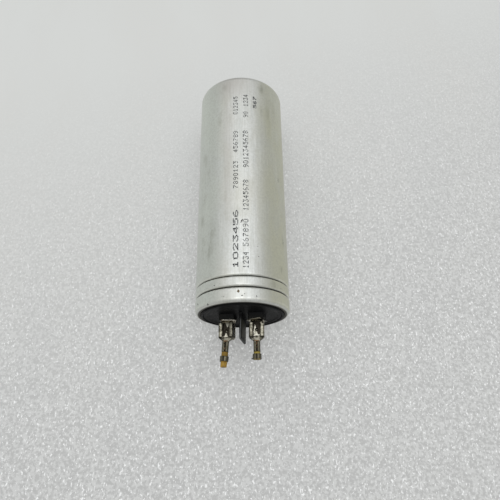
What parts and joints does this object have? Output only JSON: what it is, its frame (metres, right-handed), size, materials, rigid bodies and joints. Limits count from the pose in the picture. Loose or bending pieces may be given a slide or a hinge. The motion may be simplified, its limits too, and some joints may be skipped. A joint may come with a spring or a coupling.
{
  "type": "film capacitor",
  "caption": "Cylindrical film capacitor in a drawn aluminium can, with a moulded cover, tab terminals and crimped push-on receptacles left on them.",
  "frame": {"origin": "centre of the can's closed end, which it stands on", "axes": "+Z along the can's axis towards the terminals; +X from the right terminal to the left one; the front tabs, with the receptacles, are on the -Y side"},
  "size_m": [0.05, 0.05, 0.1683],
  "materials": {
    "can": "satin drawn",
    "cover": "moulded, satin",
    "gasket": "smooth, slightly glossy",
    "tinned_sheet": "tinned, tarnished",
    "rivet_metal": "tinned",
    "receptacle_sheet": "tinned, dark tarnish",
    "left_insulation": "ochre vinyl, aged",
    "right_insulation": "yellow vinyl, aged",
    "copper": "tarnished copper",
    "film_roll": "metallised film",
    "white_plastic": "moulded",
    "sprayed_zinc": "rough sprayed",
    "liner_film": "rolled film",
    "lug_brass": "plain",
    "lead_copper": "tinned copper wire",
    "sleeve_plastic": "extruded",
    "solder": "dull"
  },
  "bodies": {
    "root": {"can": "can", "cover": "cover", "cover_gasket": "gasket", "left_seat_plate": "tinned_sheet", "right_seat_plate": "tinned_sheet", "left_terminal": "tinned_sheet", "right_terminal": "tinned_sheet", "left_rivet": "rivet_metal", "right_rivet": "rivet_metal", "left_receptacle": "receptacle_sheet", "right_receptacle": "receptacle_sheet", "left_wire_insulation": "left_insulation", "right_wire_insulation": "right_insulation", "left_wire_strands": "copper", "right_wire_strands": "copper", "winding": "film_roll", "core_tube": "white_plastic", "top_spray": "sprayed_zinc", "bottom_spray": "sprayed_zinc", "base_cup": "white_plastic", "liner": "liner_film", "top_plate": "white_plastic", "left_solder_lug": "lug_brass", "right_solder_lug": "lug_brass", "long_lead": "lead_copper", "short_lead": "lead_copper", "lead_sleeve": "sleeve_plastic", "solder_joints": "solder"}
  },
  "joints": []
}
